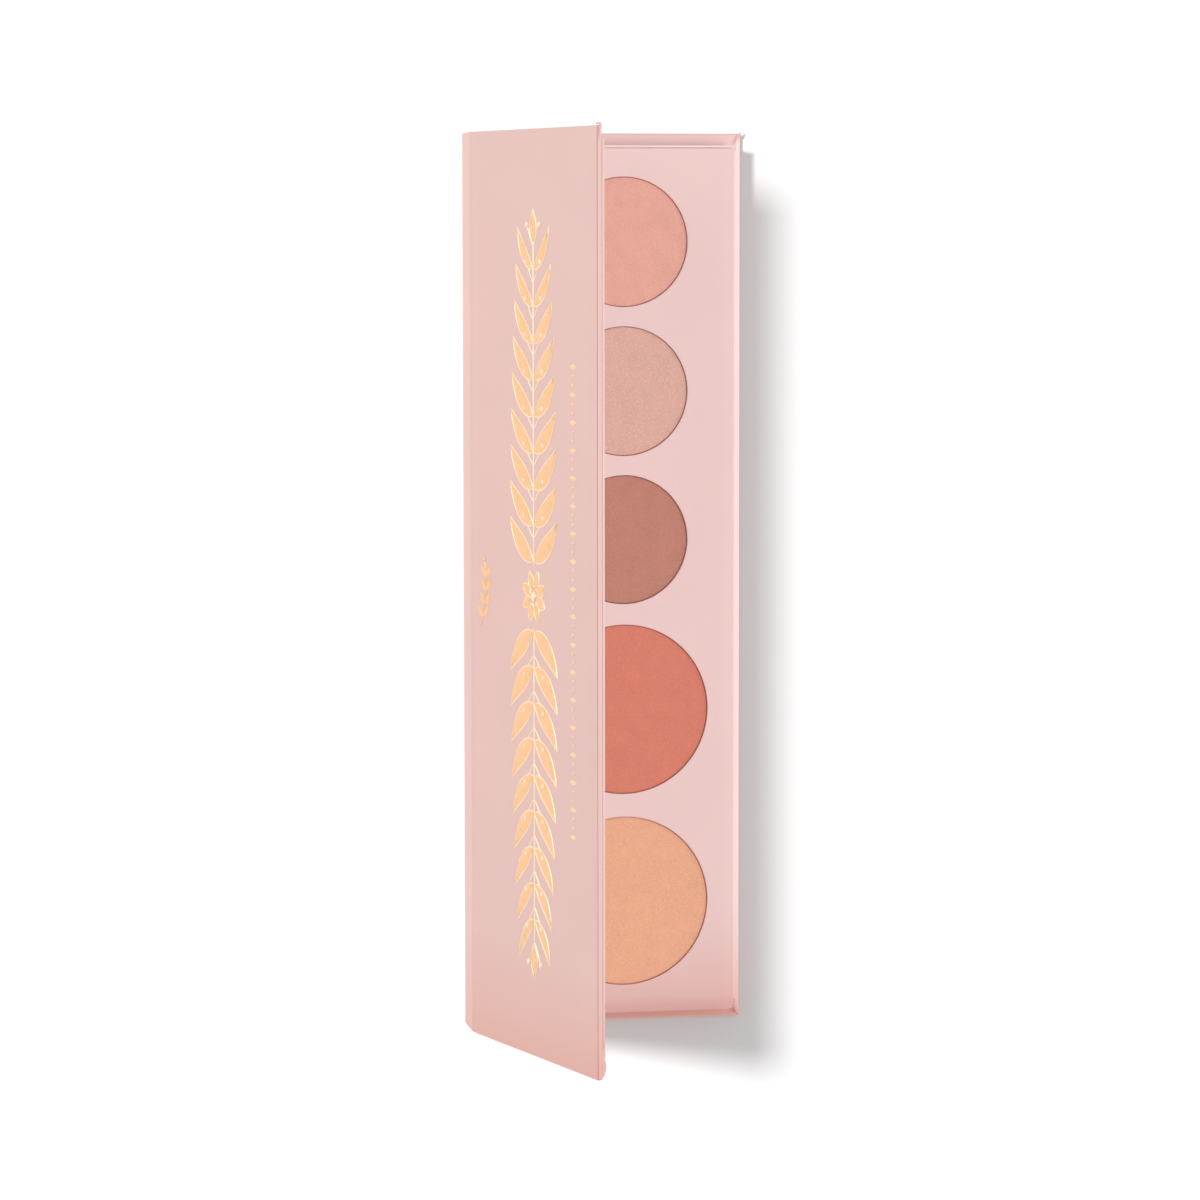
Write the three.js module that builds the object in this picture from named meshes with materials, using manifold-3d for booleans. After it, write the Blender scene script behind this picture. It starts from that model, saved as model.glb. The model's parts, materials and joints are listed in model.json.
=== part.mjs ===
// Slim book-style eyeshadow palette: a paper-covered board case with a folded paper hinge,
// and a tray with five pressed powders in one row.
// Millimetres, +Z up. The origin is at the centre of the underside. The hinge runs along Y on
// the -X side, the fore-edge is on the +X side, and the small pans are toward +Y, the head.
import * as THREE from 'three';
import { mergeVertices } from 'three/addons/utils/BufferGeometryUtils.js';
import Module from 'manifold-3d';

const wasm = await Module();
wasm.setup();

// ---- Driving dimensions ----
const PAPER = 0.12;             // cover paper and lining paper
const GLUE = 0.05;              // glue line, and the gap between pieces that touch
const COVER_BOARD = 0.9;        // greyboard in the lid, the spine and the back cover
const TURN_IN = 12;             // how far the cover paper is folded over onto the inner face
const SPINE_TURN_IN = 2.2;      // the same on the spine, beyond the tray's ends

const OVERHANG = 2.6;           // cover beyond the tray at the head, tail and fore-edge
const RAIL_WIDTH = 7.86;        // filler between the spine and the tray
const HINGE_CLEARANCE = 0.19;   // lid board's edge to the lining on the spine, when closed

const SMALL_HOLE_D = 27;        // window in the card over a small pan
const LARGE_HOLE_D = 35.7;      // window in the card over a large pan
const SMALL_GAP = 4.05;         // card between two small windows
const MIXED_GAP = 4.35;         // card between a small and a large window
const LARGE_GAP = 4.85;         // card between two large windows
const HEAD_MARGIN = 6.5;        // tray's head end to the first window
const TAIL_MARGIN = 6.0;        // last window to the tray's tail end
const SIDE_MARGIN = 5.7;        // large windows to the tray's long sides

const FLOOR_T = 1.85;           // board that closes the tray underneath
const SEAT_T = 2.1;             // each of the two die-cut layers round the pans
const CARD_T = 0.75;            // top card
const COLLAR_T = 0.4;           // card wall round the tray
const HEAD_LIP = 0.2;           // the wall's head end above the top card
const LIP_GROOVE = 0.25;        // groove between that lip and the top card

const PAN_LIP = 0.5;            // how far the card covers a pan all round
const PAN_WALL = 0.35;
const PAN_CLEARANCE = 0.3;      // pan to its seat, all round
const TAPE_T = 0.2;             // tape under a pan
const TAPE_SHARE = 0.7;         // tape disc's diameter over its pan's
const POWDER_CROWN = 0.15;      // middle of a powder cake above the pan's edge

const CLOSED_GAP = 0.1;         // liner above the tray's head lip when the lid is closed
const LINER_T = 0.55;
const LINER_INSET = 2.1;        // liner inside the lid's head and tail ends
const LINER_EDGE_INSET = 0.15;  // liner inside the lid's free edge
const LINING_REACH = 8.4;       // lining on the lid's inner face, from the lid board's edge
const MIRROR_MARGIN = 5.5;      // liner's frame round the mirror
const MIRROR_CLEARANCE = 0.15;
const MIRROR_TAPE_T = 0.1;

const MAGNET_D = 8;
const MAGNET_SINK = 0.1;        // tray magnet below the top of its seat
const MAGNET_CLEARANCE = 0.15;
const MAGNET_EDGE = 1.8;        // magnet's rim to the tray's fore-edge side

const OPEN_ANGLE = 73.6;        // degrees the lid stands open from closed
const ROUND = 36;               // sides of each round piece
const CROWN_STEPS = 3;          // steps in a powder cake's crown

// ---- Pan row, from head to tail ----
const PAN_SIZES = ['small', 'small', 'small', 'large', 'large'];
const HOLE_D = { small: SMALL_HOLE_D, large: LARGE_HOLE_D };

function gapBetween(a, b) {
  if (a !== b) return MIXED_GAP;
  return a === 'small' ? SMALL_GAP : LARGE_GAP;
}

const panRowLength = PAN_SIZES.reduce((sum, size, i) => {
  const gap = i === 0 ? 0 : gapBetween(PAN_SIZES[i - 1], size);
  return sum + gap + HOLE_D[size];
}, 0);

// ---- Plan: x from the spine's outer face, y from mid-length ----
const coverT = COVER_BOARD + 2 * (PAPER + GLUE);
const trayWidth = Math.max(SMALL_HOLE_D, LARGE_HOLE_D) + 2 * SIDE_MARGIN;
const trayLength = HEAD_MARGIN + panRowLength + TAIL_MARGIN;
const railX0 = coverT + GLUE;
const railX1 = railX0 + RAIL_WIDTH;
const lidBoardX0 = railX0 + PAPER + HINGE_CLEARANCE;
const trayX0 = railX1 + GLUE;
const trayX1 = trayX0 + trayWidth;
const width = trayX1 + OVERHANG;
const length = trayLength + 2 * OVERHANG;
const panX = (trayX0 + trayX1) / 2;

// ---- Levels: z up from the underside ----
const trayZ0 = coverT + GLUE;
const floorTop = trayZ0 + FLOOR_T;
const seatLowerZ = floorTop + GLUE;
const seatUpperZ = seatLowerZ + SEAT_T + GLUE;
const seatTop = seatUpperZ + SEAT_T;
const cardZ = seatTop + GLUE;
const lipTop = cardZ + CARD_T + HEAD_LIP;
const panZ = floorTop + GLUE + TAPE_T + GLUE;
const panHeight = seatTop - panZ;
const hingeZ = lipTop + CLOSED_GAP + LINER_T + GLUE + coverT;

const pans = [];
let rowY = trayLength / 2 - HEAD_MARGIN;
PAN_SIZES.forEach((size, i) => {
  if (i > 0) rowY -= gapBetween(PAN_SIZES[i - 1], size);
  const holeR = HOLE_D[size] / 2;
  pans.push({ number: i + 1, y: rowY - holeR, holeR, panR: holeR + PAN_LIP });
  rowY -= HOLE_D[size];
});

// A magnet sits by the fore-edge where two neighbouring pans leave the most card.
const magnetX = trayX1 - COLLAR_T - MAGNET_EDGE - MAGNET_D / 2;
const magnetY = {
  head: (pans[0].y + pans[1].y) / 2,
  tail: (pans.at(-2).y + pans.at(-1).y) / 2,
};

// ---- Materials ----
function finish(color, roughness, metalness = 0) {
  return new THREE.MeshStandardMaterial({ color, roughness, metalness });
}
const coverPaper = finish(0xeac7c1, 0.5);
const cardPaper = finish(0xeac9c7, 0.5);
const greyboard = finish(0x9c958c, 0.9);
const panMetal = finish(0xc4c6c8, 0.35, 1);
const magnetMetal = finish(0xb9babd, 0.3, 1);
const mirrorFace = finish(0xe6eaec, 0.05, 1);
const tape = finish(0xf2efe6, 0.6);
const powderColors = [0xe5a899, 0xdcac9f, 0xc08272, 0xd7806d, 0xe5a88a];

// ---- Shape helpers ----
function toSolid(geometry) {
  const bare = geometry.clone();
  bare.deleteAttribute('normal');
  bare.deleteAttribute('uv');
  const merged = mergeVertices(bare, 1e-5);
  return new wasm.Manifold(new wasm.Mesh({
    numProp: 3,
    vertProperties: new Float32Array(merged.attributes.position.array),
    triVerts: new Uint32Array(merged.index.array),
  }));
}

function toGeometry(solid) {
  const mesh = solid.getMesh();
  const geometry = new THREE.BufferGeometry();
  geometry.setAttribute('position', new THREE.BufferAttribute(mesh.vertProperties, 3));
  geometry.setIndex(new THREE.BufferAttribute(mesh.triVerts, 1));
  geometry.computeVertexNormals();
  return geometry;
}

function box([x0, x1], [y0, y1], [z0, z1]) {
  const geometry = new THREE.BoxGeometry(x1 - x0, y1 - y0, z1 - z0);
  return geometry.translate((x0 + x1) / 2, (y0 + y1) / 2, (z0 + z1) / 2);
}

function union(geometries) {
  const solids = geometries.map(toSolid);
  return toGeometry(solids.reduce((sum, solid) => sum.add(solid)));
}

function circle(x, y, r) {
  const points = [];
  for (let i = 0; i < ROUND; i += 1) {
    const a = (2 * Math.PI * i) / ROUND;
    points.push(new THREE.Vector2(x + r * Math.cos(a), y + r * Math.sin(a)));
  }
  return points;
}

function rectangle([x0, x1], [y0, y1]) {
  return [[x0, y0], [x1, y0], [x1, y1], [x0, y1]].map(([x, y]) => new THREE.Vector2(x, y));
}

// A flat sheet from z0 to z1 with the given outline and holes.
function sheet(outline, holes, [z0, z1]) {
  const shape = new THREE.Shape(outline);
  holes.forEach((hole) => shape.holes.push(new THREE.Path(hole)));
  const geometry = new THREE.ExtrudeGeometry(shape, { depth: z1 - z0, bevelEnabled: false });
  return geometry.translate(0, 0, z0);
}

// A solid of revolution about a vertical axis through (x, y).
function turned(profile, x, y) {
  const points = profile.map(([r, z]) => new THREE.Vector2(r, z));
  const geometry = new THREE.LatheGeometry(points, ROUND);
  geometry.rotateX(Math.PI / 2);
  geometry.rotateZ(Math.PI / 2);
  return toGeometry(toSolid(geometry.translate(x, y, 0)));
}

function disc(x, y, r, [z0, z1]) {
  return sheet(circle(x, y, r), [], [z0, z1]);
}

function piece(name, geometry, material) {
  const mesh = new THREE.Mesh(geometry, material);
  mesh.name = name;
  return mesh;
}

const span = (half) => [-half, half];

// ---- Cover panels ----
// The stretch of y within reach of the cover's head end (+1) or tail end (-1).
function endStrip(end, reach) {
  return [end * length / 2, end * (length / 2 - reach)].sort((a, b) => a - b);
}

// Paper round one board: outer sheet, folded edges and turned-in strips. outer and inner are
// the levels of the panel's two faces, and hingeSideX is where the folded edges start.
function coverWrap(hingeSideX, outer, inner) {
  const half = length / 2;
  const low = Math.min(outer, inner);
  const all = [low, low + coverT];
  const outerSkin = outer < inner ? [outer, outer + PAPER] : [outer - PAPER, outer];
  const innerSkin = outer < inner ? [inner - PAPER, inner] : [inner, inner + PAPER];
  const parts = [
    box([0, width], span(half), outerSkin),
    box([width - PAPER, width], span(half), all),
    box([width - TURN_IN, width], span(half), innerSkin),
  ];
  [-1, 1].forEach((end) => {
    parts.push(box([hingeSideX, width], endStrip(end, PAPER), all));
    parts.push(box([hingeSideX, width], endStrip(end, TURN_IN), innerSkin));
  });
  return union(parts);
}

const boardHalf = length / 2 - PAPER - GLUE;
const boardX1 = width - PAPER - GLUE;
const spineZ = [PAPER + GLUE, hingeZ - PAPER - GLUE];

function spineWrap() {
  const parts = [box([0, PAPER], span(length / 2), spineZ)];
  [-1, 1].forEach((end) => {
    parts.push(box([0, coverT], endStrip(end, PAPER), spineZ));
    parts.push(box([coverT - PAPER, coverT], endStrip(end, SPINE_TURN_IN), spineZ));
  });
  return union(parts);
}

function makeCase() {
  const backBoardX0 = coverT + GLUE;
  const backBoard = box([backBoardX0, boardX1], span(boardHalf),
    [PAPER + GLUE, PAPER + GLUE + COVER_BOARD]);
  const spineBoard = box([PAPER + GLUE, PAPER + GLUE + COVER_BOARD], span(boardHalf), spineZ);
  return [
    piece('back_board', backBoard, greyboard),
    piece('back_wrap', coverWrap(backBoardX0, 0, coverT), coverPaper),
    piece('spine_board', spineBoard, greyboard),
    piece('spine_wrap', spineWrap(), coverPaper),
  ];
}

// ---- Hinge rail and its lining ----
const railHalf = trayLength / 2;
const liningZ = cardZ + CARD_T - PAPER;

function makeRail() {
  const rail = box([railX0, railX1], span(railHalf), [trayZ0, liningZ - GLUE]);
  const lining = union([
    box([railX0, railX1], span(railHalf), [liningZ, cardZ + CARD_T]),
    box([railX0, railX0 + PAPER], span(railHalf), [liningZ, spineZ[1]]),
  ]);
  return [
    piece('hinge_rail', rail, greyboard),
    piece('hinge_lining', lining, coverPaper),
  ];
}

// ---- Tray ----
function makeTray() {
  const half = trayLength / 2;
  const outer = rectangle([trayX0, trayX1], span(half));
  const innerX = [trayX0 + COLLAR_T, trayX1 - COLLAR_T];
  const inner = rectangle(innerX, span(half - COLLAR_T));
  const collar = union([
    sheet(outer, [inner], [trayZ0, seatTop]),
    box([trayX0, trayX1], [half - COLLAR_T, half], [trayZ0, lipTop]),
  ]);
  const fitX = [innerX[0] + GLUE, innerX[1] - GLUE];
  const fit = rectangle(fitX, span(half - COLLAR_T - GLUE));
  const cardOutline = rectangle([trayX0, trayX1], [-half, half - COLLAR_T - LIP_GROOVE]);
  const seats = pans.map((pan) => circle(panX, pan.y, pan.panR + PAN_CLEARANCE));
  const windows = pans.map((pan) => circle(panX, pan.y, pan.holeR));
  const magnetSeats = Object.values(magnetY).map(
    (y) => circle(magnetX, y, MAGNET_D / 2 + MAGNET_CLEARANCE));
  return [
    piece('tray_collar', collar, cardPaper),
    piece('tray_floor', sheet(fit, [], [trayZ0, floorTop]), greyboard),
    piece('seat_layer_lower', sheet(fit, seats, [seatLowerZ, seatLowerZ + SEAT_T]), greyboard),
    piece('seat_layer_upper', sheet(fit, [...seats, ...magnetSeats], [seatUpperZ, seatTop]),
      greyboard),
    piece('tray_card', sheet(cardOutline, windows, [cardZ, cardZ + CARD_T]), cardPaper),
  ];
}

function makeTrayMagnet(end) {
  const z = [seatUpperZ, seatTop - MAGNET_SINK];
  return piece(`tray_magnet_${end}`, disc(magnetX, magnetY[end], MAGNET_D / 2, z), magnetMetal);
}

// ---- Pans and powders ----
function makePan(pan) {
  const cupR = pan.panR - PAN_WALL;
  const cupZ = panZ + PAN_WALL;
  const rimZ = panZ + panHeight;
  const cakeR = cupR - GLUE;
  const cakeEdgeZ = rimZ - GLUE;
  const cup = [[0, panZ], [pan.panR, panZ], [pan.panR, rimZ], [cupR, rimZ], [cupR, cupZ], [0, cupZ]];
  const cake = [[0, cupZ + GLUE], [cakeR, cupZ + GLUE], [cakeR, cakeEdgeZ]];
  for (let step = CROWN_STEPS - 1; step >= 0; step -= 1) {
    const share = step / CROWN_STEPS;
    cake.push([cakeR * share, cakeEdgeZ + POWDER_CROWN * (1 - share * share)]);
  }
  const tapeZ = floorTop + GLUE;
  const color = powderColors[pan.number - 1];
  return [
    piece(`pan_tape_${pan.number}`, disc(panX, pan.y, pan.panR * TAPE_SHARE,
      [tapeZ, tapeZ + TAPE_T]), tape),
    piece(`pan_${pan.number}`, turned(cup, panX, pan.y), panMetal),
    piece(`powder_${pan.number}`, turned(cake, panX, pan.y), finish(color, 0.85)),
  ];
}

// ---- Lid, drawn closed, with its outer face at hingeZ ----
function makeLid() {
  const innerFace = hingeZ - coverT;
  const boardZ = [innerFace + PAPER + GLUE, hingeZ - PAPER - GLUE];
  const magnetHoles = Object.values(magnetY).map(
    (y) => circle(magnetX, y, MAGNET_D / 2 + MAGNET_CLEARANCE));
  const board = sheet(rectangle([lidBoardX0, boardX1], span(boardHalf)), magnetHoles, boardZ);

  const linerTop = innerFace - GLUE;
  const linerX = [lidBoardX0 + LINING_REACH + GLUE, width - LINER_EDGE_INSET];
  const linerHalf = length / 2 - LINER_INSET;
  const mirrorX = [linerX[0] + MIRROR_MARGIN, linerX[1] - MIRROR_MARGIN];
  const mirrorHalf = linerHalf - MIRROR_MARGIN;
  const liner = sheet(rectangle(linerX, span(linerHalf)), [rectangle(mirrorX, span(mirrorHalf))],
    [linerTop - LINER_T, linerTop]);

  const glassX = [mirrorX[0] + MIRROR_CLEARANCE, mirrorX[1] - MIRROR_CLEARANCE];
  const glassHalf = mirrorHalf - MIRROR_CLEARANCE;
  const tapeBottom = linerTop - MIRROR_TAPE_T;
  const mirror = box(glassX, span(glassHalf), [linerTop - LINER_T, tapeBottom - GLUE]);
  const mirrorTape = box(glassX, span(glassHalf), [tapeBottom, linerTop]);
  const lining = box([lidBoardX0, lidBoardX0 + LINING_REACH], span(linerHalf),
    [linerTop - PAPER, linerTop]);
  const magnetZ = [boardZ[0] + GLUE, boardZ[1] - GLUE];
  const magnets = ['head', 'tail'].map((end) => piece(`lid_magnet_${end}`,
    disc(magnetX, magnetY[end], MAGNET_D / 2, magnetZ), magnetMetal));
  return [
    piece('lid_board', board, greyboard),
    piece('lid_wrap', coverWrap(lidBoardX0, hingeZ, innerFace), coverPaper),
    piece('lid_hinge_lining', lining, coverPaper),
    piece('lid_liner', liner, cardPaper),
    piece('mirror', mirror, mirrorFace),
    piece('mirror_tape', mirrorTape, tape),
    ...magnets,
  ];
}

// ---- Assembly ----
const palette = new THREE.Group();
palette.position.x = -width / 2;
palette.add(...makeCase(), ...makeRail(), ...makeTray());
palette.add(makeTrayMagnet('head'), makeTrayMagnet('tail'));
pans.forEach((pan) => palette.add(...makePan(pan)));

// The lid turns about the fold at the spine's outer top corner.
const lid = new THREE.Group();
lid.position.z = hingeZ;
lid.rotation.y = THREE.MathUtils.degToRad(-OPEN_ANGLE);
makeLid().forEach((mesh) => {
  mesh.geometry.translate(0, 0, -hingeZ);
  lid.add(mesh);
});
palette.add(lid);

export default palette;
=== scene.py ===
"""Eyeshadow palette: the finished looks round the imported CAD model.

Lengths are in metres in the row frame: the hinge runs along Y on the -X side, the fore-edge is
on the +X side, the head is toward +Y and +Z is up. Lid pieces are drawn closed, in the lid's own
frame (x from the hinge line, z = 0 on the outer face, -z through the thickness), and LID_TO_ROW
stands them open."""
import json
import math

import bmesh
import bpy
from mathutils import Matrix, Vector, noise


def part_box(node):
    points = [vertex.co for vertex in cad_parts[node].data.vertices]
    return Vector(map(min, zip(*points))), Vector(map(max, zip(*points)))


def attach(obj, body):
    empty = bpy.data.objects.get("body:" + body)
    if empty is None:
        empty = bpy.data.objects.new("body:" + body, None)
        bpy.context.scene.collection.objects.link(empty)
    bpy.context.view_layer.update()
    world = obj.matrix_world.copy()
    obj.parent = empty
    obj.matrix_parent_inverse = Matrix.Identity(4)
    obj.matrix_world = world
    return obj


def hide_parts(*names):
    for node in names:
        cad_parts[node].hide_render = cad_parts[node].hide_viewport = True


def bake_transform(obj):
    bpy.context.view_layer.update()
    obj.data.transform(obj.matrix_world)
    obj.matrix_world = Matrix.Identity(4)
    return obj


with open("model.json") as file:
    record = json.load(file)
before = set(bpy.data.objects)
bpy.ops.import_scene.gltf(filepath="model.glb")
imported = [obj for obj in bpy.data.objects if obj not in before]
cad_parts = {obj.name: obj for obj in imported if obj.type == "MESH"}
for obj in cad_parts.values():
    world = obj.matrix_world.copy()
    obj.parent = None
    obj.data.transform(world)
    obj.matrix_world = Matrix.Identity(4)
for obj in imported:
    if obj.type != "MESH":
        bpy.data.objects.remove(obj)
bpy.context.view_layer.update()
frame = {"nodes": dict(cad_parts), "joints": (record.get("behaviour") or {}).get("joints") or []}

MM = 0.001

# ---- Places and sizes, all from the frame ----
JOINT = frame["joints"][0]
HINGE = Vector(JOINT["pos_m"])
OPEN = math.radians(-JOINT["range_deg"][0])
LID_TO_ROW = Matrix.Translation(HINGE) @ Matrix.Rotation(-OPEN, 4, "Y")
ROW_TO_LID = LID_TO_ROW.inverted()


def lid_box(node):
    """Corners of a lid node in the lid's own frame: a slab's length and thickness follow from
    the box that it fills when it is tilted."""
    low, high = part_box(node)
    c, s = math.cos(OPEN), math.sin(OPEN)
    wide, tall = high.x - low.x, high.z - low.z
    spread = c * c - s * s
    size = Vector(((wide * c - tall * s) / spread, high.y - low.y, (tall * c - wide * s) / spread))
    middle = ROW_TO_LID @ ((low + high) / 2)
    return middle - size / 2, middle + size / 2


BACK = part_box("back_wrap")
BACK_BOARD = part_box("back_board")
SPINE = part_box("spine_wrap")
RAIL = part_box("hinge_rail")
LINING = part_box("hinge_lining")
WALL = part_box("tray_collar")
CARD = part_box("tray_card")
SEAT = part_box("seat_layer_upper")
LID_BOARD = lid_box("lid_board")
LID_LINING = lid_box("lid_hinge_lining")
LINER = lid_box("lid_liner")
MIRROR = lid_box("mirror")
PAN_NUMBERS = range(1, 6)
PANS = [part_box(f"pan_{i}") for i in PAN_NUMBERS]
CAKES = [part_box(f"powder_{i}") for i in PAN_NUMBERS]
ENDS = ((1, BACK[1].y), (-1, BACK[0].y))    # head and tail: the way out, and the covers' edge

# ---- Paper and board work ----
PAPER_T = BACK_BOARD[0].z - BACK[0].z   # cover paper and its glue
LID = (Vector((0, BACK[0].y, LID_BOARD[0].z - PAPER_T)),
       Vector((LID_BOARD[1].x + PAPER_T, BACK[1].y, LID_BOARD[1].z + PAPER_T)))
WALL_T = 0.4 * MM               # the tray's card wall
EDGE_R = 0.34 * MM              # rounding of paper folded over board
TIGHT_R = 0.03 * MM             # rounding of a sharp crease
LEAST_R = 0.02 * MM             # the least rounding that an inset leaves
CREASE_DEPTH = 0.26 * MM        # crease along the lid's free edge
CREASE_FROM = 0.07 * MM         # its place below the outer face
CREASE_WIDTH = 0.15 * MM
LAYER_T = 0.06 * MM             # one layer of turned-in paper
LAYER_STOPS = (1.75 * MM, 0.92 * MM)    # where the two layers stop, from the fore-edge
MITRE = 2.1 * MM                # how far the folded corner runs in across the overhang
OVERHANG = BACK[1].y - WALL[1].y
TAIL_SHADE_LENGTH = 26 * MM      # over what length painted shade darkens the paper toward the tail
TAIL_SHADE = (0.94, 0.80, 0.76)  # the painted shade at the tail, as a factor on the paper's own colour
PAPER_WAVE = 0.03 * MM          # unevenness of glued paper
WAVE_LENGTH = 26 * MM
SWEEP_STEP = 3 * MM             # between the sections of a swept piece

# ---- Tray ----
PAN_LIP = 0.5 * MM              # how far the card covers a pan, as in the CAD
CARD_DROP = 0.42 * MM           # how far the card's long edges curve down
TAIL_DROP = 0.62 * MM           # the same at its tail
CARD_SOFT = 3.4 * MM            # over what width
CARD_EDGE_R = 0.25 * MM
CARD_INSETS = (3.4, 2.7, 2.1, 1.5, 1.0, 0.62, 0.36, 0.2, 0.09, 0.0)    # mm, rows along the edges
WINDOW_R = 0.12 * MM            # rounding at the windows' edges
CAKE_RISE = 0.44 * MM           # how far a powder cake stands up in its window
CAKE_ROUND = 0.16 * MM          # rounding round its top
LIP_T = 0.36 * MM               # the head lip's thickness
LIP_WAVE = 0.06 * MM            # how far its top wanders up and down
LIP_CURL = 0.15 * MM            # how far it curls up at the fore-edge
CURL_SHARE = 0.045              # over what share of its length
GROOVE_DEPTH = 0.60 * MM        # groove between the lip and the card

# ---- Hinge ----
FOLD_SKIN = 0.06 * MM           # thickness of the outer strip

# ---- Mesh finishing ----
BOARD_ANGLE = 38                # degrees between faces, up to which an edge is smooth
CARD_ANGLE = 50
SHEET_ANGLE = 60
MIRROR_ANGLE = 20
FOIL_ANGLE = 15
MERGE_DISTANCE = 1e-7           # points nearer than this are one point
SEAM_DISTANCE = 2e-6            # the same where the card's cells meet


# ---- Mesh helpers ----
def finish_mesh(mesh, angle):
    """Merges doubled points, points the faces outward and smooths all but the sharp edges."""
    bm = bmesh.new()
    bm.from_mesh(mesh)
    bmesh.ops.remove_doubles(bm, verts=bm.verts, dist=MERGE_DISTANCE)
    bmesh.ops.recalc_face_normals(bm, faces=bm.faces)
    bm.to_mesh(mesh)
    bm.free()
    mesh.shade_smooth()
    mesh.set_sharp_from_angle(angle=math.radians(angle))


def show(thing):
    bpy.context.scene.collection.objects.link(thing)


def new_piece(name, parts, material, body, replaces=(), angle=BOARD_ANGLE):
    """One object from a list of (points, faces) parts. It rides on a body, if one is named, and
    a lid piece is stood open first."""
    points, faces = [], []
    for part_points, part_faces in parts:
        start = len(points)
        points += [tuple(p) for p in part_points]
        faces += [tuple(start + i for i in face) for face in part_faces]
    mesh = bpy.data.meshes.new(name)
    mesh.from_pydata(points, [], faces)
    if body == "lid":
        mesh.transform(LID_TO_ROW)
    finish_mesh(mesh, angle)
    mesh.materials.append(material)
    piece = bpy.data.objects.new(name, mesh)
    show(piece)
    if body is not None:
        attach(piece, body)
    if replaces:
        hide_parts(*replaces)
    return piece


def settle_paper(piece, seed):
    """Sinks the surface by a slow noise, as glued paper does, and never outward."""
    mesh = piece.data
    normals = [v.normal.copy() for v in mesh.vertices]
    for v, normal in zip(mesh.vertices, normals):
        height = noise.noise(v.co / WAVE_LENGTH + Vector((seed, 0, 0)))
        v.co += normal * PAPER_WAVE * 0.5 * (height - 1)


def loft(rings, closed=False, capped=True):
    """Quads between rings of equal length, capped at both ends, left open or closed on itself."""
    count = len(rings[0])
    points = [p for ring in rings for p in ring]
    faces = []
    bands = len(rings) if closed else len(rings) - 1
    for k in range(bands):
        a, b = k * count, ((k + 1) % len(rings)) * count
        for i in range(count):
            j = (i + 1) % count
            faces.append((a + i, a + j, b + j, b + i))
    if capped and not closed:
        faces.append(tuple(range(count)))
        faces.append(tuple(range((len(rings) - 1) * count, len(rings) * count)))
    return points, faces


def outline(corners, splits=None, arc_steps=4):
    """A closed outline of (u, v) from corners (u, v, radius). splits[k] says into how many
    pieces the side after corner k is cut."""
    count = len(corners)
    arcs = []
    for k in range(count):
        here = Vector(corners[k][:2])
        before = (Vector(corners[k - 1][:2]) - here).normalized()
        after = (Vector(corners[(k + 1) % count][:2]) - here).normalized()
        radius = corners[k][2]
        half = before.angle(after) / 2
        reach = radius / math.tan(half)
        middle = here + (before + after).normalized() * radius / math.sin(half)
        start, end = here + before * reach - middle, here + after * reach - middle
        shares = [i / arc_steps for i in range(arc_steps + 1)]
        arcs.append([middle + start.lerp(end, t).normalized() * radius for t in shares])
    line = []
    for k in range(count):
        line += arcs[k]
        pieces = (splits or {}).get(k, 1)
        here, there = arcs[k][-1], arcs[(k + 1) % count][0]
        line += [here.lerp(there, i / pieces) for i in range(1, pieces)]
    return line


def stations(y0, y1, radius):
    """(y, inset) along a body whose two ends are rounded."""
    arc_steps = 4
    angles = [math.pi / 2 * k / arc_steps for k in range(arc_steps + 1)]
    turn = [(radius * (1 - math.cos(a)), radius * (1 - math.sin(a))) for a in angles]
    straight = y1 - y0 - 2 * radius
    count = max(1, round(straight / SWEEP_STEP))
    middle = [(y0 + radius + straight * i / count, 0.0) for i in range(1, count)]
    return ([(y0 + d, inset) for d, inset in turn] + middle
            + [(y1 - d, inset) for d, inset in reversed(turn)])


def sweep(section, y0, y1, radius=EDGE_R):
    """Lofts section(inset), a closed outline of (x, z), along Y with rounded ends."""
    rings = []
    for y, inset in stations(y0, y1, radius):
        rings.append([Vector((p.x, y, p.y)) for p in section(inset)])
    return loft(rings)


def box_corners(x0, x1, z0, z1, inset, radius):
    """A rectangle's corners for outline(), set in and with what the inset leaves of radius."""
    r = max(radius - inset, LEAST_R)
    return [(x0 + inset, z0 + inset, r), (x1 - inset, z0 + inset, r),
            (x1 - inset, z1 - inset, r), (x0 + inset, z1 - inset, r)]


def quarter():
    """(inward, upward) shares round a quarter circle, from the side to the top."""
    steps = 3
    angles = [math.pi / 2 * i / steps for i in range(steps + 1)]
    return [(1 - math.cos(a), math.sin(a)) for a in angles]


def frame_ring(box, inset, radius, z):
    """A rounded rectangle at height z, set in from a box's sides."""
    low, high = box
    corners = box_corners(low.x, high.x, low.y, high.y, inset, 0)
    corners = [(x, y, radius) for x, y, _ in corners]
    return [Vector((p.x, p.y, z)) for p in outline(corners)]


def rounded_frame(box, width, foot, top, edge_r, outer_r, inner_r):
    """A frame round a box's sides, width wide, from z = foot to a top with rounded edges."""
    depth = math.copysign(edge_r, top - foot)
    rings = [frame_ring(box, 0, outer_r, foot)]
    for inward, up in quarter():
        reach = edge_r * inward
        rings.append(frame_ring(box, reach, outer_r - reach, top - depth * (1 - up)))
    for inward, up in reversed(quarter()):
        reach = edge_r * inward
        rings.append(frame_ring(box, width - reach, inner_r + reach, top - depth * (1 - up)))
    rings.append(frame_ring(box, width, inner_r, foot))
    return loft(rings, closed=True)


def direction(path, k):
    """The way a path runs at its point k."""
    return (path[min(k + 1, len(path) - 1)] - path[max(k - 1, 0)]).normalized()


def left_of(way):
    return Vector((-way.y, way.x))


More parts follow.
